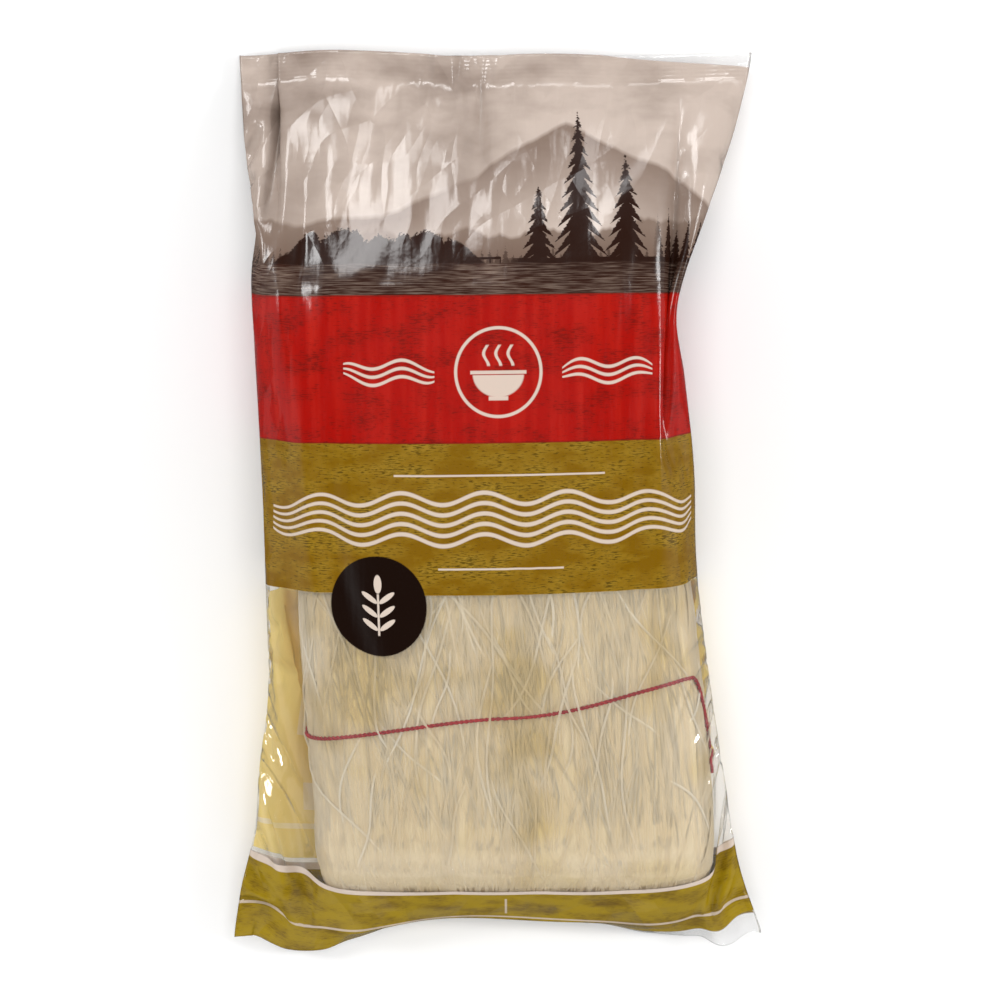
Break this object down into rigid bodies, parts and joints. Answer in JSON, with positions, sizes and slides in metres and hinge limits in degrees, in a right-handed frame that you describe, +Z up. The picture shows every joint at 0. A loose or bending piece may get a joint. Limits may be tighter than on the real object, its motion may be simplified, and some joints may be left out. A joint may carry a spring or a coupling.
{
  "type": "pillow pack of glass noodles",
  "caption": "Sealed clear film pillow pack of dry glass noodles, lying on its back, with coloured print bands above a window onto the thread-tied bundle.",
  "frame": {"origin": "on the surface that the pack lies on, under the middle of its bounding box", "axes": "+X to the right of the front print, +Y to the top of the print along the pack, +Z up out of the front"},
  "size_m": [0.1795, 0.3005, 0.0508],
  "materials": {
    "printed_film": "glossy printed film, olive, red and sepia bands over clear",
    "clear_film": "clear glossy film with creases",
    "noodles": "dry translucent mung bean starch strands",
    "tie_thread": "twisted red cotton thread"
  },
  "bodies": {
    "root": {"bag": "printed_film"}
  },
  "joints": []
}
